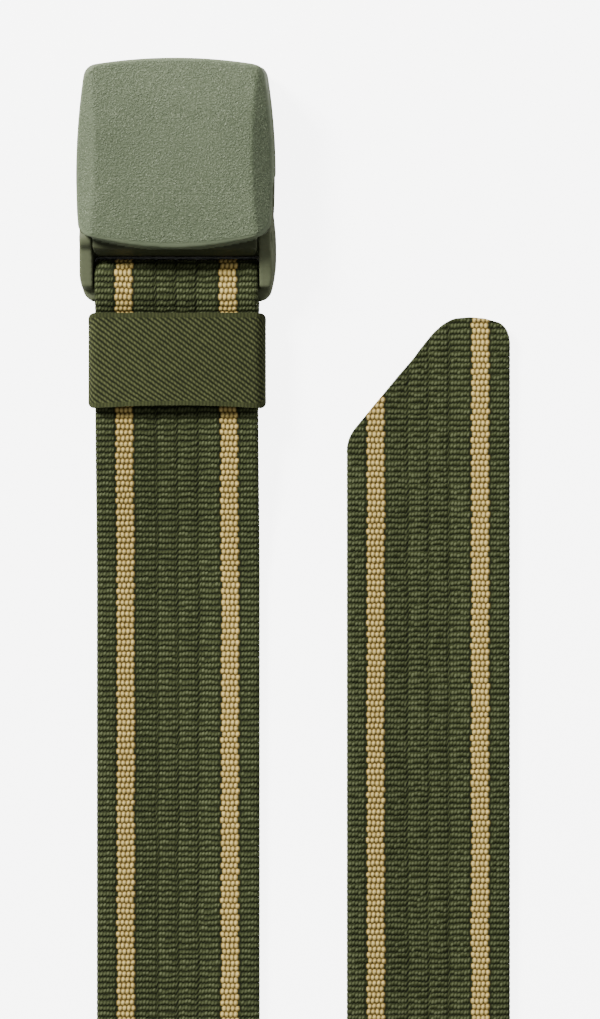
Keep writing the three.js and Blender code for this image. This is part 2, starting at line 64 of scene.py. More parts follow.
print("frame box in mm:", [round(side * 1000, 1) for side in cad_high - cad_low])

# %% [markdown]
# Blender works in metres. A belt is measured in millimetres, so one named value turns the one into the
# other. Two points nearer to each other than a thousandth of that count as one. Colours are easiest to
# write as the usual 0 to 255 numbers, while the shader wants linear light, so a small function converts
# them.

# %% Units and colours
import bisect
import math

import bmesh
import bpy
from mathutils import Vector, noise

MM = 0.001
TOUCHING = 0.001 * MM


def paint(red, green, blue):
    """A colour given as 0 to 255 numbers, as the linear colour that a shader takes."""
    linear = []
    for channel in (red, green, blue):
        share = channel / 255
        linear.append(share / 12.92 if share <= 0.04045 else ((share + 0.055) / 1.055) ** 2.4)
    return (*linear, 1.0)


print("one millimetre is", MM, "m; olive is", [round(c, 3) for c in paint(65, 70, 48)])

# %% [markdown]
# Every finish below is a small tree of shader nodes. Placing dozens of Math nodes by hand hides the
# formula that they stand for, so `Wire` wraps one socket and lets Python's own arithmetic add the
# nodes: `1 - mask * 0.5` reads as it works.

# %% Shader maths as expressions
class Wire:
    """One socket that a number comes out of. Arithmetic on it adds Math nodes."""

    def __init__(self, tree, socket):
        self.tree = tree
        self.socket = socket

    def math(self, operation, *others):
        node = self.tree.nodes.new("ShaderNodeMath")
        node.operation = operation
        for socket, value in zip(node.inputs, (self, *others)):
            plug(self.tree, socket, value)
        return Wire(self.tree, node.outputs[0])

    def __add__(self, other):
        return self.math("ADD", other)

    def __mul__(self, other):
        return self.math("MULTIPLY", other)

    def __sub__(self, other):
        return self.math("SUBTRACT", other)

    def __rsub__(self, other):
        return self * -1 + other

    def __truediv__(self, other):
        return self.math("DIVIDE", other)

    def __mod__(self, other):
        return self.math("FLOORED_MODULO", other)

    def __pow__(self, other):
        return self.math("POWER", other)

    def __abs__(self):
        return self.math("ABSOLUTE")

    __radd__ = __add__
    __rmul__ = __mul__

    def floor(self):
        return self.math("FLOOR")

    def sine(self):
        return self.math("SINE")

    def larger(self, other):
        return self.math("MAXIMUM", other)

    def smaller(self, other):
        return self.math("MINIMUM", other)

    def within(self):
        """The value, held between 0 and 1."""
        return self.larger(0).smaller(1)

    def step(self, low, high):
        """0 below low, 1 above high, and a smooth rise between them."""
        share = ((self - low) / (high - low)).within()
        return share * share * (3 - share * 2)


def plug(tree, socket, value):
    """Puts a wire or a plain value into a socket."""
    if isinstance(value, Wire):
        tree.links.new(value.socket, socket)
    else:
        socket.default_value = value


print("a wire knows", ", ".join(name for name in vars(Wire) if not name.startswith("_")))

# %% [markdown]
# `Finish` makes a material, and its method `node` adds any node from its type, its settings and what
# goes into its sockets. The few nodes that most finishes use get a short name of their own. Sockets are
# called by number where Blender gives several the same name, so those numbers are named once here.

# %% A material in the making
MIX_FACTOR, MIX_A, MIX_B, MIX_RESULT = 0, 6, 7, 2
MIX_LOW, MIX_HIGH = 2, 3
OBJECT_PLACE = 3
ATTRIBUTE_NUMBER = 2


class Finish:
    """A material, and the node tree that is being built for it."""

    def __init__(self, name):
        self.material = bpy.data.materials.new(name)
        self.material.use_nodes = True
        self.tree = self.material.node_tree
        self.tree.nodes.clear()

    def node(self, kind, settings=None, sockets=None, output=0):
        made = self.tree.nodes.new("ShaderNode" + kind)
        for key, value in (settings or {}).items():
            if key == "stops":
                stops = made.color_ramp.elements
                while len(stops) < len(value):
                    stops.new(0.5)
                for stop, (place, colour) in zip(stops, value):
                    stop.position = place
                    stop.color = colour
            else:
                setattr(made, key, value)
        for key, value in (sockets or {}).items():
            plug(self.tree, made.inputs[key], value)
        return Wire(self.tree, made.outputs[output]) if made.outputs else None

    def place(self):
        """Where a point is on the piece, in metres."""
        return self.node("TexCoord", None, None, OBJECT_PLACE)

    def on_cloth(self):
        """Where a point is on the flat cloth, across and along."""
        return self.split(self.node("UVMap", {"uv_map": "cloth"}))[:2]

    def painted(self, name):
        """The number that the mesh carries under a name."""
        return self.node("Attribute", {"attribute_name": name}, None, ATTRIBUTE_NUMBER)

    def blend(self, factor, low, high):
        """Mixes two colours by a number from 0 to 1."""
        sockets = {MIX_FACTOR: factor, MIX_A: low, MIX_B: high}
        return self.node("Mix", {"data_type": "RGBA"}, sockets, MIX_RESULT)

    def weigh(self, factor, low, high):
        """Mixes two numbers by a number from 0 to 1."""
        return self.node("Mix", {"data_type": "FLOAT"}, {MIX_FACTOR: factor, MIX_LOW: low, MIX_HIGH: high})

    def ramp(self, share, *stops):
        """A colour from a row of (place, colour) stops."""
        return self.node("ValToRGB", {"stops": stops}, {0: share})

    def split(self, vector):
        """The X, Y and Z of a vector as three numbers."""
        return [self.node("SeparateXYZ", None, {0: vector}, output) for output in range(3)]

    def join(self, x, y, z=0.0):
        return self.node("CombineXYZ", None, {"X": x, "Y": y, "Z": z})

    def cloud(self, vector, scale, detail=2.0):
        """Soft noise from 0 to 1."""
        return self.node("TexNoise", None, {"Vector": vector, "Scale": scale, "Detail": detail})

    def chance(self, x, y=0.0):
        """A steady random number for each cell that x and y name."""
        return self.node("TexWhiteNoise", {"noise_dimensions": "2D"}, {"Vector": self.join(x, y)})

    def done(self, colour, roughness, height=None, depth=0.0, extra=None):
        """Ends the tree in one Principled shader, with the relief as bump."""
        sockets = {"Base Color": colour, "Roughness": roughness, **(extra or {})}
        if height is not None:
            sockets["Normal"] = self.node("Bump", None, {"Height": height, "Distance": depth})
        shader = self.node("BsdfPrincipled", None, sockets)
        self.node("OutputMaterial", None, {"Surface": shader})
        print("finish", self.material.name, "has", len(self.tree.nodes), "nodes")
        return self.material


print("a finish knows", ", ".join(name for name in vars(Finish) if not name.startswith("_")))

# %% [markdown]
# ## The strap's route
# The strap is one flat ribbon. It starts at its folded-back end inside the keeper, goes round the
# buckle's bar, comes back over itself through the keeper and down to the ground. Out of the picture it
# stands up on its edge, goes round one plain bend and lies down again, and it ends in the slanted tip.
# We could model each stretch in place, but a weave has to run on without a break. So the route is
# worked out first, as a close row of places with the direction across the strap at each, and the flat
# ribbon is laid along it afterwards, like a ribbon along a wire.

# %% Sizes of the strap and the places that it passes
WIDTH = 38 * MM
THICK = 2.4 * MM
LAYER_GAP = 0.3 * MM
BAR_RADIUS = 1.3 * MM
BAR_WIDTH = 7.2 * MM
FOLD_LIFT = 0.6 * MM
KEEPER_WALL = 1.3 * MM
FLAP_SETBACK = 3.9 * MM
RAMP_LENGTH = 46 * MM
TWIST_LENGTH = 180 * MM
EDGE_RUN = 40 * MM
TIP_BEHIND_FRAME = 3.6 * MM

half_width = WIDTH / 2
half_thick = THICK / 2
keeper_low, keeper_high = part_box("keeper")
frame_low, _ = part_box("buckle_frame")
webbing_low, webbing_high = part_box("webbing")
frame_back = frame_low.y
fold_y = frame_back + BAR_WIDTH - BAR_RADIUS
fold_radius = BAR_RADIUS + LAYER_GAP + half_thick
bar_z = FOLD_LIFT + fold_radius + half_thick
flap_z = KEEPER_WALL + LAYER_GAP + half_thick
upper_z = flap_z + THICK + LAYER_GAP
flap_end = keeper_low.y + FLAP_SETBACK
ramp_end = flap_end - RAMP_LENGTH
run_spacing = webbing_high.x - half_width
bend_radius = run_spacing / 2
bend_y = webbing_low.y + bend_radius + half_thick
stand_y = bend_y + EDGE_RUN
flat_y = stand_y + TWIST_LENGTH
tip_y = frame_back - TIP_BEHIND_FRAME
print(f"bend at y {bend_y * 1000:.1f} mm, runs {run_spacing * 1000:.1f} mm apart")

# %% [markdown]
# A route is a list of places half a millimetre apart. Straight stretches and arcs differ only in what
# changes from one place to the next, so one helper steps along a distance, another round an angle, and
# each calls a small function that says where the strap is there.

# %% Helpers for the route
ROUTE_STEP = 0.5 * MM
route = []


def eased(value, start, end):
    share = min(max((value - start) / (end - start), 0), 1)
    return share * share * (3 - 2 * share)


def between(low, high, share):
    return low + (high - low) * share


def place(x, y, z, lean=0.0, side=1):
    across = Vector((side * math.cos(lean), 0, math.sin(lean)))
    route.append((Vector((x, y, z)), across))


def stretch(start, end, put):
    """Calls put at even steps from start to end, and leaves the last one to the next stretch."""
    count = max(2, round(abs(end - start) / ROUTE_STEP))
    for i in range(count):
        put(between(start, end, i / count))


def turn(start, end, radius, put):
    """The same round an arc, in degrees."""
    count = round(math.radians(end - start) * radius / ROUTE_STEP)
    for i in range(count):
        put(math.radians(between(start, end, i / count)))


print("the route is laid in steps of", ROUTE_STEP * 1000, "mm")

# %% [markdown]
# Now the stretches, from the folded-back end to the tip. The strap's two layers are closer together in
# the keeper than at the buckle's bar, so on the way each changes its height in a soft S. Far from the
# buckle the strap leans over, from lying flat to standing on its edge, and its middle rises as far as
# the lean needs.

# %% Lay out the route
DIP_AFTER_BAR = 0.6 * MM
DIP_BEFORE_KEEPER = 1.5 * MM
layer_turn = frame_back + BAR_RADIUS


def flap_height(y):
    return between(bar_z - fold_radius, flap_z, eased(y, layer_turn, keeper_high.y))


def upper_height(y):
    over_keeper = eased(y, layer_turn + DIP_AFTER_BAR, keeper_high.y - DIP_BEFORE_KEEPER)
    height = between(bar_z + fold_radius, upper_z, over_keeper)
    return between(height, half_thick, eased(y, flap_end, ramp_end))


def lean_at(y):
    return math.pi / 2 * eased(y, flat_y, stand_y)


def lean_height(lean):
    return half_width * math.sin(lean) + half_thick * math.cos(lean)


def place_fold(angle):
    place(0, fold_y + fold_radius * math.cos(angle), bar_z + fold_radius * math.sin(angle))


def place_bend(angle):
    x = bend_radius + bend_radius * math.cos(angle)
    place(x, bend_y + bend_radius * math.sin(angle), half_width, math.pi / 2)


stretch(flap_end, fold_y, lambda y: place(0, y, flap_height(y)))
turn(-90, 90, fold_radius, place_fold)
stretch(fold_y, flat_y, lambda y: place(0, y, upper_height(y)))
stretch(flat_y, bend_y, lambda y: place(0, y, lean_height(lean_at(y)), lean_at(y)))
turn(180, 360, bend_radius, place_bend)
stretch(bend_y, flat_y, lambda y: place(run_spacing, y, lean_height(lean_at(y)), lean_at(y), -1))
stretch(flat_y, tip_y, lambda y: place(run_spacing, y, half_thick, 0, -1))
place(run_spacing, tip_y, half_thick, 0, -1)

distances = [0.0]
for (here, _), (after, _) in zip(route, route[1:]):
    distances.append(distances[-1] + (after - here).length)
strap_length = distances[-1]
print(f"the route has {len(route)} places and is {strap_length * 1000:.1f} mm long")

# %% [markdown]
# To lay the ribbon along the route, each of its points needs three things from the place it is at: the
# strap's middle, the direction across it, and the direction that its face looks in.

# %% Find any point of the laid strap
def laid(across, along, above):
    """Where a point of the flat ribbon comes to lie: above is its height over the ribbon's middle layer."""
    index = min(max(bisect.bisect_right(distances, along) - 1, 0), len(route) - 2)
    share = (along - distances[index]) / (distances[index + 1] - distances[index])
    middle = route[index][0].lerp(route[index + 1][0], share)
    wide = route[index][1].lerp(route[index + 1][1], share)
    before = route[max(index - 1, 0)][0]
    after = route[min(index + 2, len(route) - 1)][0]
    forward = (after - before).normalized()
    square = (wide - forward * wide.dot(forward)).normalized()
    face = forward.cross(square)
    return middle + square * across + face * above


print("the folded-back end starts at", [round(c * 1000, 1) for c in laid(0, 0, 0)])

# %% [markdown]
# ## The woven strap
# A belt webbing is a ribbed plain weave: thick weft threads lie across it under the warp, and each one
# shows as a rib with a dark gap beside it. Two tan stripes run along it, and three grooves wander down
# the middle where the bands of warp meet. All that could be painted as bump alone, but ribs this
# coarse throw shadows and show at the edge, so they are modelled: the ribbon is a grid with three rows
# to a rib, and the rows in the gaps are sunk. The threads inside a rib are finer, and are left to the
# finish.

# %% Sizes of the weave
RIB = 1.33 * MM
RIB_SINK = 0.12 * MM
RIB_WANDER = 0.26 * MM
GROOVE_SINK = 0.2 * MM
GROOVE_WANDER = 0.34 * MM
SELVEDGE = 0.7 * MM

# Across the strap, one unit is a band of warp, and along it, a rib.
BANDS = 8
GROOVES = (3, 4, 5)
GROOVE_HALF = 0.1
BESIDE_GROOVE = 0.12
BESIDE_EDGE = 0.35
GAP_HALF = 0.22
ROWS = (0, 0.27, 0.73)
groove_columns = [groove + step for groove in GROOVES for step in (-BESIDE_GROOVE, 0, BESIDE_GROOVE)]
COLUMNS = (0, BESIDE_EDGE, *groove_columns, BANDS - BESIDE_EDGE, BANDS)

rib_count = round(strap_length / RIB)
rib_pitch = strap_length / rib_count
print(rib_count, "ribs,", f"{rib_pitch * 1000:.3f} mm apart")

# %% [markdown]
# The tip has a slanted edge, a soft bow at its end and three rounded corners. We need it as a row of
# points. The corners are short curves that start on one edge and end on the next, and the bow is part of
# a circle.

# %% The outline of the tip
TIP_SLANT_LENGTH = 28.2 * MM
TIP_PEAK = 22.4 * MM
TIP_HEEL = 3.2 * MM
TIP_BOW_RADIUS = 19 * MM
TIP_BOW_MIDDLE = 28.7 * MM
TIP_CORNER = 4.4 * MM
BOW_AFTER_PEAK = 0.7 * TIP_CORNER
BOW_BEFORE_CORNER = 0.6 * TIP_CORNER
CORNER_BACK = 0.3 * TIP_CORNER
CURVE_STEPS = 6


def bezier(start, corner, end):
    """Points on a curve that leaves start towards the corner and comes to end from it."""
    points = []
    for i in range(CURVE_STEPS + 1):
        share = i / CURVE_STEPS
        points.append(start.lerp(corner, share).lerp(corner.lerp(end, share), share))
    return points


def tip_outline():
    """Points from the slanted edge to the other one, as (distance from the slanted edge, distance back)."""
    def bow(x):
        return TIP_BOW_RADIUS - math.sqrt(TIP_BOW_RADIUS**2 - (x - TIP_BOW_MIDDLE) ** 2)

    heel = Vector((0, TIP_SLANT_LENGTH))
    peak = Vector((TIP_PEAK, bow(TIP_PEAK)))
    slant = (peak - heel).normalized()
    points = bezier(heel + Vector((0, TIP_HEEL)), heel, heel + slant * TIP_HEEL)
    bow_start = TIP_PEAK + BOW_AFTER_PEAK
    bow_end = WIDTH - BOW_BEFORE_CORNER
    points += bezier(peak - slant * TIP_CORNER, peak, Vector((bow_start, bow(bow_start))))
    points += [Vector((x, bow(x))) for x in (TIP_BOW_MIDDLE, (TIP_BOW_MIDDLE + bow_end) / 2)]
    far = Vector((WIDTH, bow(bow_end) + CORNER_BACK))
    points += bezier(Vector((bow_end, bow(bow_end))), far, far + Vector((0, TIP_CORNER)))
    return points


print("the tip's outline has", len(tip_outline()), "points")

# %% [markdown]
# The sheet is one even grid, whose rows and columns are then moved to where the weave needs them. The
# tip could be cut by joining the outline's points into a face, but that would break up the grid. The
# outline bulges everywhere, so one straight cut after another gives its shape, the way scissors would
# go round it.

# %% Cut the flat sheet to its shape
SHORTEST_CUT = 0.01 * MM
CUT_TOLERANCE = 0.0001 * MM
flat = bmesh.new()
bmesh.ops.create_grid(flat, x_segments=len(COLUMNS) - 1, y_segments=rib_count * len(ROWS), size=0.5)
for vert in flat.verts:
    column = round((vert.co.x + 0.5) * (len(COLUMNS) - 1))
    row = round((vert.co.y + 0.5) * rib_count * len(ROWS))
    rib, part = divmod(row, len(ROWS))
    vert.co.x = COLUMNS[column] / BANDS * WIDTH - half_width
    vert.co.y = (rib + ROWS[part]) * rib_pitch

outline = tip_outline()
for start, end in zip(outline, outline[1:]):
    first = Vector((half_width - start.x, strap_length - start.y, 0))
    second = Vector((half_width - end.x, strap_length - end.y, 0))
    if (second - first).length < SHORTEST_CUT:
        continue
    outward = (second - first).normalized().cross(Vector((0, 0, 1)))
    near_tip = [v for v in flat.verts if v.co.y > strap_length - 2 * WIDTH]
    edges = {e for v in near_tip for e in v.link_edges}
    faces = {f for v in near_tip for f in v.link_faces}
    geometry = [*near_tip, *edges, *faces]
    bmesh.ops.bisect_plane(
        flat, geom=geometry, dist=CUT_TOLERANCE, plane_co=first, plane_no=outward, clear_outer=True,
    )
print("flat sheet:", len(flat.faces), "faces")

# %% [markdown]
# The finish will follow the strap's own surface, so the sheet gets its UV map while it is still flat:
# both numbers are distances in strap widths. Then it is thickened into a closed ribbon. Its woven long
# edges are rounded, while the tip keeps the crisp edge of a hot cut.

# %% Map, thicken and round the sheet
def map_flat(bm, name, size):
    """Gives a flat piece a UV map from its X and Y."""
    layer = bm.loops.layers.uv.new(name)
    for face in bm.faces:
        for loop in face.loops:
            loop[layer].uv = (loop.vert.co.x / size + 0.5, loop.vert.co.y / size)


map_flat(flat, "cloth", WIDTH)
top = list(flat.faces)
lifted = bmesh.ops.extrude_face_region(flat, geom=top, use_keep_orig=True)["geom"]
raised = [item for item in lifted if isinstance(item, bmesh.types.BMVert)]
bmesh.ops.translate(flat, verts=raised, vec=(0, 0, half_thick))
others = list(set(flat.verts) - set(raised))
bmesh.ops.translate(flat, verts=others, vec=(0, 0, -half_thick))
bmesh.ops.recalc_face_normals(flat, faces=flat.faces)
outermost = half_width - 0.01 * MM
long_edges = [e for e in flat.edges if min(abs(v.co.x) for v in e.verts) > outermost]
corners = [e for e in long_edges if e.calc_face_angle() > 1]
bmesh.ops.bevel(
    flat, geom=corners, offset=SELVEDGE, segments=2, profile=0.5, affect="EDGES", material=-1,
    offset_type="OFFSET", clamp_overlap=False,
)
print("closed ribbon:", len(flat.faces), "faces")

# %% [markdown]
# A real weave is never quite even. The grooves stray to the side, and each band's ribs sit a little
# before or behind their neighbours'. Smooth noise along the strap gives both, read at another place for
# each groove and band, and it is the same at every run. The gaps and the grooves are valleys with
# straight sides, which is enough at their size.

# %% How uneven the weave is
GROOVE_PACE = 0.12
RIB_PACE = 0.21
STEADY_EDGE = 0.5
LOOSE_FROM = 2.2


def groove_drift(rib, groove):
    """How far one of the middle grooves has strayed to the side at a rib."""
    return GROOVE_WANDER * noise.noise(Vector((rib * GROOVE_PACE, groove * 5.3, 0)))


def rib_shift(rib, band):
    """How far a rib is out of line in one band. The middle groove, where two bands meet, stays in line."""
    if band == GROOVES[1]:
        return 0
    own = noise.noise(Vector((rib * RIB_PACE, math.floor(band) * 3.1, 4)))
    return RIB_WANDER * own * eased(BANDS / 2 - abs(band - BANDS / 2), STEADY_EDGE, LOOSE_FROM)


def sink_at(across, along):
    """How far the weave is sunk below the rib tops at a point of the flat strap."""
    share = along / rib_pitch % 1
    gap = max(0.0, 1 - min(share, 1 - share) / GAP_HALF)
    band = (across + half_width) / WIDTH * BANDS
    nearest = min(abs(band - groove) for groove in GROOVES)
    return RIB_SINK * gap + GROOVE_SINK * max(0.0, 1 - nearest / GROOVE_HALF)


print(f"a groove's bottom is {sink_at(0, 0) * 1000:.2f} mm deep where a gap crosses it")

# %% [markdown]
# Now every point of the flat ribbon is moved that little way, sunk if it is in a gap or a groove, and
# laid where the route takes it. A rounded edge sinks sideways instead, which gives the strap its fine
# notched outline. At the strap's two ends nothing strays, so that they stay cleanly cut.

# %% Sink the gaps and lay the strap
EDGE_NOTCH = 0.6
HELD_BY_GROOVE = 0.2
FREE_OF_GROOVE = 0.6

for vert in flat.verts:
    x, y, z = vert.co
    down = sink_at(x, y)
    side = 1 - eased(half_width - abs(x), 0, SELVEDGE)
    edge = math.copysign(EDGE_NOTCH * down * side, x)
    band = (x + half_width) / WIDTH * BANDS
    rib = y / rib_pitch
    groove = min(GROOVES, key=lambda middle: abs(middle - band))
    hold = 1 - eased(abs(band - groove), HELD_BY_GROOVE, FREE_OF_GROOVE)
    fold_free = eased(y, 0, RIB) * eased(strap_length - y, 0, WIDTH)
    x += groove_drift(rib, groove) * hold - edge
    y += rib_shift(rib, band) * fold_free
    z -= math.copysign(down * (1 - side), z)
    vert.co = laid(x, y, z)
bmesh.ops.recalc_face_normals(flat, faces=flat.faces)
print("laid strap:", len(flat.verts), "points")

# %% [markdown]
# A finished bmesh becomes an object in the same way each time: a mesh with its finish, smooth where it
# is meant to be round and sharp where it folds, riding on its body of the frame.

# %% Turn a bmesh into a piece of the belt
def make_piece(name, bm, finish, body, crease=50):
    mesh = bpy.data.meshes.new(name)
    bm.to_mesh(mesh)
    bm.free()
    mesh.materials.append(finish)
    mesh.shade_smooth()
    mesh.set_sharp_from_angle(angle=math.radians(crease))
    piece = bpy.data.objects.new(name, mesh)
    bpy.context.scene.collection.objects.link(piece)
    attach(piece, body)
    mesh.calc_loop_triangles()
    print(f"{name}: {len(mesh.loop_triangles)} triangles")
    return piece


# %% [markdown]
# The finish of the strap is worked out in its own threads. Along the strap, one unit is a rib. Across
# it, one unit is a band of warp. The ribs waver a little, and where two bands meet, each gap climbs by
# one rib, which makes the slanted hooks of the grooves.

# %% Where a point is in the weave
RIB_WAVER = 0.78
WAVER_LOSS = 0.12
HOOK_HALF = 0.085


def hump(share, half):
    """0 where a number between 0 and 1 is a half, and 1 at the given distance from there."""
    off = abs(share - 0.5) / half
    return off * off


def place_in_weave(cloth):
    """The band and the rib that a point is in, and its distance from the strap's middle in bands."""
    across, along = cloth.on_cloth()
    band = across * BANDS
    straight = along * (WIDTH / rib_pitch)
    from_middle = abs(band - BANDS / 2)
    waver = cloth.cloud(cloth.join(band * 1.9, straight * 0.5), 1.0, 2.0) - 0.5
    climb = sum(band.step(groove - HOOK_HALF, groove + HOOK_HALF) for groove in GROOVES)
    ribs = straight + climb + waver * (RIB_WAVER - from_middle * WAVER_LOSS)
    return band, ribs, from_middle


print("a rib wavers by up to", round(RIB_WAVER * RIB * 500, 2), "mm")

# %% [markdown]
# The tan threads show as ovals, four to a rib, and every second rib has its four a third of an oval further
# out, so the stripe has a toothed edge. The distance from an oval's middle gives both its relief and its
# painted shading: a painted highlight in the oval's middle and painted shade between the ovals. A dark thread
# runs along each side of the stripe.

# %% The tan stripes
# The darkest tan is painted shade between the ovals, and the lightest a painted highlight on them.
TAN_SHADED = paint(84, 66, 24)
TAN = paint(160, 135, 70)
TAN_HIGHLIT = paint(230, 204, 126)
STRIPE_MIDDLE = 2.56
STRIPE = 0.86
STRIPE_BLUR = 0.04
SIDE_LINE = 0.12
OVALS = 4
OVAL_HALF_WIDTH = 0.55
OVAL_HALF_LENGTH = 0.57
ROW_SHIFT = 0.07
ROW_JITTER = 0.03


def tan_stripe(cloth, ribs, from_middle):
    """Whether a point is in a tan stripe, how dark the line beside it is, and the relief of its ovals."""
    row = ribs.floor()
    aside = (cloth.chance(row, 7.0) - 0.5) * ROW_JITTER + (row % 2 - 0.5) * ROW_SHIFT
    in_stripe = from_middle + aside - STRIPE_MIDDLE
    from_stripe = abs(in_stripe) * 2
    part = 1 - from_stripe.step(STRIPE - STRIPE_BLUR, STRIPE + STRIPE_BLUR)
    line = 1 - abs(from_stripe - STRIPE - SIDE_LINE).step(0.04, 0.2)
    oval = (in_stripe / STRIPE + 0.5) * OVALS
    relief = (1 - hump(oval % 1, OVAL_HALF_WIDTH) - hump(ribs % 1, OVAL_HALF_LENGTH)).larger(0)
    return part, line, relief


print(OVALS, "tan ovals are", round(STRIPE / OVALS * WIDTH / BANDS * 1000, 2), "mm wide each")

# %% [markdown]
# A green thread shows as a short slanted dash on each rib. Every dash gets a chance number of its own, which
# moves it a little along the rib's slope and sets how light it is, and how wide the dark gap beside its rib.
# The dash is painted lighter as a painted highlight, and the gap darker as painted shade. In the grooves the
# gaps are wider, and not equally deep, and the grooves are painted darker as painted shade in their recess.

# %% The green ground
# The darkest olive is painted shade in the gaps and grooves, and the lightest a painted highlight on the
# dashes.
OLIVE_SHADED = paint(12, 17, 0)
OLIVE = paint(54, 61, 28)
OLIVE_HIGHLIT = paint(97, 104, 71)
DASHES = 6.2
DASH_LEAN = 0.24
DASH_HALF_WIDTH = 0.54
DASH_HALF_LENGTH = 0.37
DASH_JITTER = 0.3
WIDEST_GAP = 0.48
GAP_RANGE = 0.22


def groove_shade(cloth, band, ribs, from_gap):
    """How dark the weave is painted where two bands of warp meet: painted shade in the groove's recess and
    its hooks.
    """
    recess = sum(1 - abs(band - groove).step(0.03, 0.13) for groove in GROOVES)
    depth = cloth.chance((ribs + 0.5).floor(), (band + 0.5).floor()).step(0.1, 0.7)
    hook = recess * (1 - from_gap.step(0.15, 0.85)) * depth
    return (recess * 0.32).larger(hook * 0.95)


def green_ground(cloth, band, ribs):
    """The chance number of a dash, its relief, its rib's top, the light in the gap and the painted shade of
    the grooves.
    """
    dash = band * DASHES
    slanted = ribs + (dash % 1 - 0.5) * DASH_LEAN
    chance = cloth.chance(dash.floor(), slanted.floor())
    along_rib = slanted % 1 + (chance - 0.5) * DASH_JITTER
    relief = (1 - hump(dash % 1, DASH_HALF_WIDTH) - hump(along_rib, DASH_HALF_LENGTH)).larger(0)
    from_gap = 1 - abs(slanted % 1 - 0.5) * 2
    rib_top = from_gap.step(0.0, WIDEST_GAP - chance * GAP_RANGE)
    in_gap = (1 - hump(dash % 1, 0.5)) * (1 - rib_top) * chance
    return chance, relief, rib_top, in_gap, groove_shade(cloth, band, ribs, from_gap)


print("a green dash is", round(WIDTH / BANDS / DASHES * 1000, 2), "mm wide")

# %% [markdown]
# Last, stripe and ground are put together: each gets its painted shading from its own relief, painted
# highlights on the threads and painted shade in the gaps, a ramp turns that shading into a colour, and soft
# patches keep a metre of strap from looking printed.

# %% The woven finish
THREAD_RELIEF = 0.26 * MM
FUZZ = 0.12
CLOTH_SHEEN = {"Specular IOR Level": 0.25}


def woven_finish():
    cloth = Finish("woven_strap")
    band, ribs, from_middle = place_in_weave(cloth)
    tan_part, side_line, tan_relief = tan_stripe(cloth, ribs, from_middle)
    chance, dash_relief, rib_top, in_gap, lines = green_ground(cloth, band, ribs)
    lines = lines.larger(side_line * 0.7)
    patches = cloth.cloud(cloth.join(band * 0.9, ribs * 0.07), 1.0, 3.0) - 0.5

    # Painted shading of the green: painted highlights on the dashes, painted shade in the gaps and grooves,
    # and soft patches of tone.
    green_tone_and_painted_shading = rib_top * 0.27 + in_gap * 0.2 + dash_relief * (0.34 + chance * 0.42)
    green_tone_and_painted_shading = (green_tone_and_painted_shading * (1 - lines) + patches * 0.12).within()
    green = cloth.ramp(green_tone_and_painted_shading, (0.0, OLIVE_SHADED), (0.38, OLIVE), (1.0, OLIVE_HIGHLIT))
    # Painted shading of the tan: a painted highlight in each oval and painted shade between them, with soft
    # patches of tone.
    tan_tone_and_painted_shading = (tan_relief * (0.9 + chance * 0.24) + patches * 0.1).within()
    tan = cloth.ramp(tan_tone_and_painted_shading, (0.0, TAN_SHADED), (0.4, TAN), (1.0, TAN_HIGHLIT))
    colour = cloth.blend(tan_part, green, tan)

    fibres = cloth.cloud(cloth.join(band * 60, ribs * 6), 1.0, 3.0) - 0.5
    green_relief = (rib_top * 0.5 + dash_relief * 0.5) * (1 - lines)
    relief = cloth.weigh(tan_part, green_relief, tan_relief)
    height = relief + fibres * FUZZ
    return cloth.done(colour, 0.9 - relief * 0.1, height, depth=THREAD_RELIEF, extra=CLOTH_SHEEN)


woven = woven_finish()
strap = make_piece("strap", flat, woven, "belt")
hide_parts("webbing")

# %% [markdown]
# ## The keeper
# The keeper is a ring of ribbed elastic that holds the strap's layers together. Its twill runs down to
# the right, with a narrow plain border at each edge. Its back edge is drawn in a little in the middle.
# It starts as a flat sheet as long as the way round the strap, gets its twill as real relief, and is
# bent round the strap. These are its sizes, and the places that follow from them.

# %% Sizes of the keeper
KEEPER_BEND = 1.4 * MM
KEEPER_CROWN = 0.85 * MM
KEEPER_CORNER = 1.7 * MM
KEEPER_BOW = 0.8 * MM
KEEPER_CELL = 0.3 * MM
TWILL_PITCH = 0.98 * MM
TWILL_ANGLE = math.radians(37)
TWILL_SINK = 0.16 * MM
TWILL_SHAPE = 0.8
BORDER_START = 0.84 * MM
BORDER_END = 1.44 * MM

keeper_half = (keeper_high.x - keeper_low.x) / 2
keeper_top = keeper_high.z - KEEPER_CROWN
keeper_length = keeper_high.y - keeper_low.y
keeper_middle = (keeper_high.y + keeper_low.y) / 2
outer_bend = KEEPER_BEND + KEEPER_WALL
print(f"the keeper is {2 * keeper_half * 1000:.1f} mm wide and {keeper_high.z * 1000:.1f} mm high")

# %% [markdown]
# Seen end on, the band is a low box with four round corners and a slightly crowned top. Each point of
# the flat sheet has a distance round the band, and we need its place in that outline. Both halves are
# the same, so it is worked out on the right and mirrored to the left.

# %% Bend a distance round the band into its place
side_height = keeper_top - 2 * outer_bend
flat_half = keeper_half - outer_bend
quarter = math.pi / 2 * outer_bend
way_round = 4 * quarter + 2 * side_height + 4 * flat_half


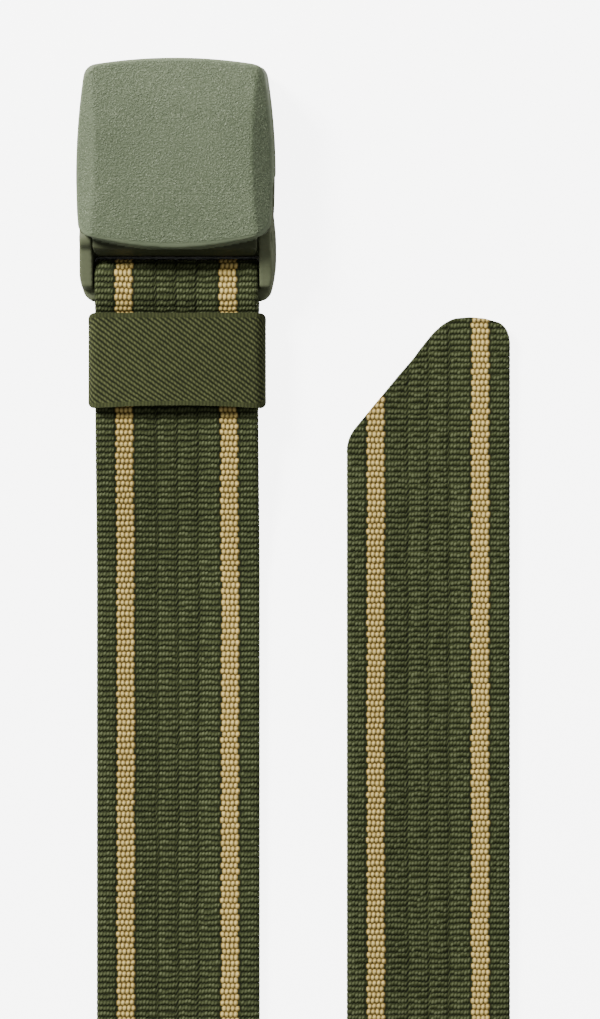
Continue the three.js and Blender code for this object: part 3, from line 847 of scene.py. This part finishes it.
def round_band(distance, above):
    """The X and Z of a point that is a distance round the band and above its outer face."""
    # The way round starts at the middle of the underside.
    distance %= way_round
    mirrored = distance > way_round / 2
    if mirrored:
        distance = way_round - distance
    radius = outer_bend + above
    if distance < flat_half:
        x, z = distance, -above
    elif distance < flat_half + quarter:
        angle = (distance - flat_half) / outer_bend
        x = flat_half + radius * math.sin(angle)
        z = outer_bend - radius * math.cos(angle)
    elif distance < flat_half + quarter + side_height:
        x = keeper_half + above
        z = outer_bend + distance - flat_half - quarter
    elif distance < flat_half + 2 * quarter + side_height:
        angle = (distance - flat_half - quarter - side_height) / outer_bend
        x = flat_half + radius * math.cos(angle)
        z = outer_bend + side_height + radius * math.sin(angle)
    else:
        x = way_round / 2 - distance
        z = keeper_top + above
        z += KEEPER_CROWN * (1 - (x / flat_half) ** 2)
    return (-x if mirrored else x), z


print(f"the band is {way_round * 1000:.1f} mm round and {keeper_length * 1000:.1f} mm long")

# %% [markdown]
# The twill is a row of slanted ridges, so one number, the distance square to them, gives the height
# anywhere. The sheet is a fine grid that gets its wall by extruding, like the strap. Then each point is
# sunk, bent into its place, pulled in at the band's rounded ends and drawn in at the middle of its back.
# Where the sheet's ends meet, under the strap, they are merged.

# %% Make the keeper
def twill_relief(across, along):
    """0 on a twill line's top and 1 in the valley beside it. The borders are plain."""
    line = (across * math.sin(TWILL_ANGLE) - along * math.cos(TWILL_ANGLE)) / TWILL_PITCH
    ridge = abs(math.sin(math.pi * line)) ** TWILL_SHAPE
    return (1 - ridge) * eased(keeper_length / 2 - abs(along), BORDER_START, BORDER_END)


keeper_bm = bmesh.new()
around = round(way_round / KEEPER_CELL)
bmesh.ops.create_grid(keeper_bm, x_segments=around, y_segments=round(keeper_length / KEEPER_CELL), size=0.5)
bmesh.ops.scale(keeper_bm, vec=(way_round, keeper_length, 1), verts=keeper_bm.verts)
map_flat(keeper_bm, "cloth", way_round)
outside = bmesh.ops.extrude_face_region(keeper_bm, geom=list(keeper_bm.faces), use_keep_orig=True)["geom"]
outer_verts = {item for item in outside if isinstance(item, bmesh.types.BMVert)}
for vert in keeper_bm.verts:
    distance, along = vert.co.x, vert.co.y
    above = -TWILL_SINK * twill_relief(distance, along) if vert in outer_verts else -KEEPER_WALL
    x, z = round_band(distance + way_round / 2, above)
    inside = max(0.0, abs(x) - keeper_half + KEEPER_CORNER)
    inside = min(inside, KEEPER_CORNER)
    pulled = KEEPER_CORNER - math.sqrt(KEEPER_CORNER**2 - inside**2)
    share = 1 - pulled / (keeper_length / 2)
    behind = max(0.0, -along / (keeper_length / 2))
    bowed = KEEPER_BOW * (1 - (x / keeper_half) ** 2) * behind**2
    vert.co = (x, keeper_middle + along * share + bowed, z)
bmesh.ops.remove_doubles(keeper_bm, verts=keeper_bm.verts, dist=TOUCHING)
bmesh.ops.recalc_face_normals(keeper_bm, faces=keeper_bm.faces)
print("keeper:", len(keeper_bm.faces), "faces")

# %% [markdown]
# The elastic's finish repeats the twill of its relief as painted shading, so that the valleys are painted
# dark as painted shade and the ridges and stitches light as painted highlights, and adds the short stitches
# that make up each twill line and the fine upright grain of the two borders.

# %% The elastic finish
# The darkest elastic is painted shade in the twill's valleys, and the lightest a painted highlight on its
# ridges.
ELASTIC_SHADED = paint(16, 19, 6)
ELASTIC = paint(49, 54, 27)
ELASTIC_HIGHLIT = paint(88, 93, 56)

# In millimetres, and in stitches to a millimetre.
STITCHES = 1.35
STITCH_STEP = 0.37
GRAIN_PITCH = 0.8
BORDER_OUTSIDE = 0.95
BORDER_INSIDE = 1.35
ELASTIC_RELIEF = 0.1 * MM


def elastic_finish():
    cloth = Finish("ribbed_elastic")
    across, along = cloth.on_cloth()
    across = (across - 0.5) * (way_round / MM)
    along = along * (way_round / MM)
    place = cloth.join(across, along)
    waver = cloth.cloud(place, 0.7, 1.0) - 0.5
    line = (across * math.sin(TWILL_ANGLE) - along * math.cos(TWILL_ANGLE)) / (TWILL_PITCH / MM)
    ridge = abs(((line + waver * 0.25) * math.pi).sine())
    stitch = abs(((across * STITCHES + line.floor() * STITCH_STEP) * math.pi).sine())
    edge = keeper_length / MM / 2
    border = abs(along).step(edge - BORDER_INSIDE, edge - BORDER_OUTSIDE)
    grain = abs((across * (math.pi / GRAIN_PITCH)).sine())
    wear = cloth.cloud(place, 0.35, 3.0)
    # Painted shading: painted shade in the valleys, painted highlights on the ridges and stitches.
    shade = ridge ** 1.1 * (0.66 + stitch * 0.34)
    plain = 0.45 + grain * 0.22
    shade = shade + (plain - shade) * border + (wear - 0.5) * 0.3
    colour = cloth.ramp(shade.within(), (0.0, ELASTIC_SHADED), (0.55, ELASTIC), (1.0, ELASTIC_HIGHLIT))
    fibres = cloth.cloud(cloth.join(across * 5, along * 5), 1.0, 3.0) - 0.5
    height = ridge * stitch * (1 - border) + grain * border * 0.5 + fibres * 0.2
    return cloth.done(colour, 0.92, height, depth=ELASTIC_RELIEF, extra=CLOTH_SHEEN)


elastic = elastic_finish()
keeper = make_piece("keeper_band", keeper_bm, elastic, "belt")
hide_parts("keeper")

# %% [markdown]
# ## The moulded buckle
# The solids of the lever and the frame have every wall, bore and tooth in its place. What they lack is
# the look of a moulding: their curves are in facets and their edges are sharp. Each edge could be
# bevelled, but there are hundreds. A voxel remesh instead wraps the whole solid in a fine even net, and
# a few rounds of smoothing draw every edge in to the small radius that a mould leaves.

# %% Wrap a solid in a fine even skin
SKIN_CELL = 0.36 * MM
SMOOTHING_ROUNDS = 4


def moulded_skin(node):
    """A bmesh of small even faces over one of the frame's solids, with its edges softened."""
    merged = bmesh.new()
    merged.from_mesh(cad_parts[node].data)
    bmesh.ops.remove_doubles(merged, verts=merged.verts, dist=TOUCHING)
    mesh = bpy.data.meshes.new(node + "_skin")
    merged.to_mesh(mesh)
    merged.free()
    holder = bpy.data.objects.new(node + "_skin", mesh)
    bpy.context.scene.collection.objects.link(holder)
    remesh = holder.modifiers.new("even_faces", "REMESH")
    remesh.mode = "VOXEL"
    remesh.voxel_size = SKIN_CELL
    skin = bmesh.new()
    skin.from_object(holder, bpy.context.evaluated_depsgraph_get())
    bpy.data.objects.remove(holder)
    every_axis = {"use_axis_x": True, "use_axis_y": True, "use_axis_z": True}
    for _ in range(SMOOTHING_ROUNDS):
        bmesh.ops.smooth_vert(skin, verts=skin.verts, factor=0.5, **every_axis)
    print(node, "skin:", len(skin.faces), "faces")
    return skin


# %% [markdown]
# The cover needs more than soft edges. Its face meets the two sloping sides in a slightly rounded ridge,
# and a smooth rolled rim runs round it, widest in the middle of the back edge. So the height of its top
# is worked out twice, once as the sharp solid has it and once with ridges and rim rounded, and each
# point above the cover's underside moves with the difference. These are the cover's sizes.

# %% Sizes of the cover
COVER_LENGTH = 44.3 * MM
COVER_WIDEST = 16.8 * MM
SIDE_RADIUS = 150 * MM
FRONT_RADIUS = 117 * MM
BACK_RADIUS = 71 * MM
COVER_CORNER = 3.4 * MM
CROWN_RADIUS = 230 * MM
SLOPE_WIDTH = 4.65 * MM
SLOPE = math.tan(math.radians(35))
COVER_DEPTH = 4.2 * MM
RIDGE_SOFTNESS = 0.16 * MM
SIDE_RIM = 0.55 * MM
BACK_RIM = 1.5 * MM
RIM_DROP = 0.2

_, lever_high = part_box("buckle_lever")
cover_half = lever_high.x
cover_front = lever_high.y
cover_back = cover_front - COVER_LENGTH
cover_middle = (cover_front + cover_back) / 2
cover_under = lever_high.z - COVER_DEPTH
print(f"the cover's back edge is at y {cover_back * 1000:.1f} mm, its top at z {lever_high.z * 1000:.1f} mm")

# %% [markdown]
# Seen from above, the cover's outline is four shallow arcs with round corners. How far inside it a point
# is tells whether the point is on the rim. The sharp top is the lower one of two surfaces, the long
# crown and the steep side slope, and the soft ridge is cut where the two come close to each other.

# %% Work out the cover's top
def inside_edge(x, y):
    """How far inside the cover's outline a point is, seen from above."""
    side = SIDE_RADIUS - math.hypot(abs(x) + SIDE_RADIUS - cover_half, y - cover_back - COVER_WIDEST)
    if y > cover_middle:
        end = FRONT_RADIUS - math.hypot(x, y + FRONT_RADIUS - cover_front)
    else:
        end = BACK_RADIUS - math.hypot(x, y - BACK_RADIUS - cover_back)
    corner = COVER_CORNER - math.hypot(max(COVER_CORNER - side, 0), max(COVER_CORNER - end, 0))
    return min(side, end, corner)


def crown_and_slope(x, y):
    crown = lever_high.z - (y - cover_middle) ** 2 / (2 * CROWN_RADIUS)
    slope = lever_high.z - (abs(x) - cover_half + SLOPE_WIDTH) * SLOPE
    return crown, slope


def rim_at(x, y):
    back_share = eased(y, cover_middle, cover_back) * max(0, 1 - (x / cover_half) ** 2)
    return between(SIDE_RIM, BACK_RIM, back_share)


def soft_top(x, y):
    crown, slope = crown_and_slope(x, y)
    near = max(RIDGE_SOFTNESS - abs(crown - slope), 0) / RIDGE_SOFTNESS
    top = min(crown, slope) - near * near * RIDGE_SOFTNESS / 4
    rim = rim_at(x, y)
    short = min(max(rim - inside_edge(x, y), 0), rim)
    return top - RIM_DROP * (rim - math.sqrt(rim * rim - short * short))


print(f"the rim is {rim_at(0, cover_back) * 1000:.2f} mm at the back and {rim_at(0, 0) * 1000:.2f} mm inside")

# %% [markdown]
# Only the cover's own points move: those above its underside and inside its outline. A point part of the way
# up its edge moves by that part. The finish has to know the face with its pebbles from the smooth rim, and
# the hub and the other parts under the cover, which get a painted shade, from the cover, so each point also
# carries a number for each.

# %% Shape the cover
FACE_FROM, FACE_FULL = 0.7, 1.1
TOP_FROM, TOP_FULL = 0.7, 0.8
lever_skin = moulded_skin("buckle_lever")
grain_layer = lever_skin.verts.layers.float.new("grain")
hub_shade_layer = lever_skin.verts.layers.float.new("hub")
for vert in lever_skin.verts:
    x, y, z = vert.co
    if z > cover_under and inside_edge(x, y) > -SKIN_CELL:
        share = (z - cover_under) / (min(crown_and_slope(x, y)) - cover_under)
        top = soft_top(x, y)
        vert.co.z = cover_under + share * (top - cover_under)
        face = eased(inside_edge(x, y), FACE_FROM * rim_at(x, y), FACE_FULL * rim_at(x, y))
        vert[grain_layer] = face * eased(share, TOP_FROM, TOP_FULL)
    else:
        # The hub and the other parts below the cover are marked for their painted shade.
        vert[hub_shade_layer] = 1.0 if y < 0 else 0.0
print("points of the pebbled face:", sum(vert[grain_layer] > 0.5 for vert in lever_skin.verts))

# %% [markdown]
# Both parts are moulded from one olive plastic, a little lighter on the worn cover than on the frame. The hub
# and the other parts under the cover are painted darkest, a painted shade for the cover's shadow that they
# lie in. These are its colours, and the sizes of its grain.

# %% Colours and grain of the plastic
COVER_DARK = paint(62, 72, 48)
COVER_MIDDLE = paint(98, 109, 83)
COVER_LIGHT = paint(152, 160, 132)
FRAME_DARK = paint(81, 87, 61)
FRAME_LIGHT = paint(107, 113, 85)
# The hub's colour is painted shade: the hub lies in the cover's shadow.
HUB_SHADE = paint(57, 62, 37)
DULL = {"Specular IOR Level": 0.36}

# Sizes of noise, in cells to a metre.
PEBBLES = 1200.0
FINE_PEBBLES = 3000.0
# The size of the painted glints.
PAINTED_GLINTS = 700.0
COVER_PATCHES = 55.0
FRAME_PATCHES = 70.0
FRAME_GRAIN = 1800.0
PEBBLE_RELIEF = 0.14 * MM
GRAIN_RELIEF = 0.012 * MM
print(f"one pebble is about {1 / PEBBLES * 1000:.1f} mm across")

# %% [markdown]
# The cover's face has a fine texture from the mould: low wormy pebbles whose crests catch the light. Noise
# folded at its middle value gives such crests, and their light is painted into the colour as painted
# highlights, with scattered painted glints among them. On average the face is painted darker than the rim and
# the walls, which so carry a painted light. The rim, the walls and the frame are smooth, with only a faint
# cloudiness.

# %% The plastic finishes
def cover_finish():
    plastic = Finish("pebbled_cover")
    place = plastic.place()
    face = plastic.painted("grain")
    crests = (1 - abs(plastic.cloud(place, PEBBLES) - 0.5) * 2) ** 6
    fine = plastic.cloud(place, FINE_PEBBLES)
    patches = plastic.cloud(place, COVER_PATCHES, 3.0)
    # Painted highlights on the pebble crests, and painted glints.
    highlit_crests = crests * fine.step(0.45, 0.7)
    painted_glints = fine.step(0.66, 0.74) * plastic.cloud(place, PAINTED_GLINTS, 1.0).step(0.5, 0.62)
    # The face is painted darker on average than the smooth rim and walls, which carry a painted light; the
    # fine noise is the pebbles' own tone.
    pebble_highlights_and_tone = highlit_crests * 0.25 + painted_glints * 0.4 + (fine - 0.5) * 0.7 - 0.16
    shade = (0.52 + (patches - 0.5) * 0.3 + pebble_highlights_and_tone * face).within()
    colour = plastic.ramp(shade, (0.0, COVER_DARK), (0.45, COVER_MIDDLE), (1.0, COVER_LIGHT))
    # The hub and the parts under the cover are painted in this darker colour, a painted shade.
    colour = plastic.blend(plastic.painted("hub"), colour, HUB_SHADE)
    height = (crests * 0.7 + fine * 0.7) * face + fine * 0.06
    return plastic.done(colour, 0.64 - highlit_crests * 0.15, height, depth=PEBBLE_RELIEF, extra=DULL)


def frame_finish():
    plastic = Finish("moulded_frame")
    place = plastic.place()
    patches = plastic.cloud(place, FRAME_PATCHES, 4.0)
    fine = plastic.cloud(place, FRAME_GRAIN)
    colour = plastic.ramp((patches * 0.8 + fine * 0.2).within(), (0.25, FRAME_DARK), (0.8, FRAME_LIGHT))
    return plastic.done(colour, 0.6 + (patches - 0.5) * 0.15, fine, depth=GRAIN_RELIEF, extra=DULL)


cover_plastic = cover_finish()
frame_plastic = frame_finish()

# %% [markdown]
# The frame needs nothing but its soft skin. Both parts stay smooth over all their curves, and keep a
# crease only where a wall stands square on another, so their crease angle is wide.

# %% Finish the cover and the frame
SKIN_CREASE = 80
cover = make_piece("cover_moulding", lever_skin, cover_plastic, "lever", SKIN_CREASE)
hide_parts("buckle_lever")
frame_skin = moulded_skin("buckle_frame")
frame_piece = make_piece("frame_moulding", frame_skin, frame_plastic, "belt", SKIN_CREASE)
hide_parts("buckle_frame")

# %% [markdown]
# ## The room
# The belt lies on a plain pale floor. A white floor in soft light comes out grey, and lighting it until
# it is white would wash out the belt. So the floor glows, but only for rays from the camera, which
# leaves the belt's own light alone. Under the buckle it doesn't glow, or the slots would shine.

# %% The floor
FLOOR_HALF = 40
FLOOR_GLOW = 6.0
GLOW_MARGIN = 2 * MM
GLOW_FADE = 0.5 * MM
FLOOR_COLOUR = paint(240, 240, 238)
BLACK = paint(0, 0, 0)
WHITE = paint(255, 255, 255)

floor_bm = bmesh.new()
bmesh.ops.create_grid(floor_bm, x_segments=1, y_segments=1, size=FLOOR_HALF)
floor_mesh = bpy.data.meshes.new("floor")
floor_bm.to_mesh(floor_mesh)
floor_bm.free()
floor = bpy.data.objects.new("floor", floor_mesh)
bpy.context.scene.collection.objects.link(floor)


def floor_finish():
    paper = Finish("pale_floor")
    seen = paper.node("LightPath")
    x, y, _ = paper.split(paper.place())
    beside = abs(x) - half_width - GLOW_MARGIN
    in_front = y - cover_middle
    behind = frame_back + BAR_WIDTH / 2 - y
    open_floor = beside.larger(in_front).larger(behind).step(0, GLOW_FADE)
    glow = {"Emission Color": paper.blend(seen * open_floor, BLACK, WHITE), "Emission Strength": FLOOR_GLOW}
    return paper.done(FLOOR_COLOUR, 0.9, extra=glow)


floor_mesh.materials.append(floor_finish())
floor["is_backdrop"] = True

# %% [markdown]
# A large square lamp at the upper left makes the soft shadows, and a much weaker one at the right opens
# them a little. The sky is weaker still. Where the camera sees past the floor's edge, the sky is as pale
# as the floor, again only for rays from the camera.

# %% The sky and the lights
SKY_LIGHT = 0.25
PICTURE_MIDDLE = Vector((28.3 * MM, -75.7 * MM, 0))

world = bpy.data.worlds.new("pale_sky")
bpy.context.scene.world = world
world.use_nodes = True
sky = world.node_tree.nodes["Background"]
sky.inputs["Color"].default_value = (1, 1, 1, 1)
seen = Wire(world.node_tree, world.node_tree.nodes.new("ShaderNodeLightPath").outputs["Is Camera Ray"])
plug(world.node_tree, sky.inputs["Strength"], seen * FLOOR_GLOW + SKY_LIGHT)


def soft_light(name, place, target, size, power):
    data = bpy.data.lights.new(name, "AREA")
    data.shape = "SQUARE"
    data.size = size
    data.energy = power
    lamp = bpy.data.objects.new(name, data)
    bpy.context.scene.collection.objects.link(lamp)
    lamp.location = place
    aim = Vector(target) - Vector(place)
    lamp.rotation_euler = aim.to_track_quat("-Z", "Y").to_euler()
    print(f"{name}: {power} W from {aim.length:.2f} m away")


soft_light("key", (-1.1, 1.1, 1.1), PICTURE_MIDDLE, 0.5, 84)
soft_light("fill", (1.5, 0.6, 0.9), PICTURE_MIDDLE, 1.0, 6)

# %% [markdown]
# The camera is a long way off with a long lens, so that the strap's edges stay parallel. It leans a few
# degrees to the right, where the buckle's right-hand walls come into view. Its distance follows from
# the height of the picture on the floor, the lens and the sensor.

# %% The camera
PICTURE_HEIGHT = 237.0 * MM
SENSOR = 36.0
LENS = 600.0
LEAN = math.radians(4.2)
FURTHEST = 100
distance = PICTURE_HEIGHT * LENS / SENSOR
camera_data = bpy.data.cameras.new("camera")
camera_data.lens = LENS
camera_data.sensor_width = SENSOR
camera_data.clip_end = FURTHEST
camera = bpy.data.objects.new("camera", camera_data)
bpy.context.scene.collection.objects.link(camera)
back = Vector((math.sin(LEAN), 0, math.cos(LEAN)))
camera.location = PICTURE_MIDDLE + back * distance
camera.rotation_euler = (0, LEAN, 0)
bpy.context.scene.camera = camera
print(f"the camera is {distance:.2f} m away")

# %% Finish
new_low, new_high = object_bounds()
for side, grown in (("low", cad_low - new_low), ("high", new_high - cad_high)):
    print("grown at the", side, "side, in mm:", [round(c * 1000, 2) for c in grown])
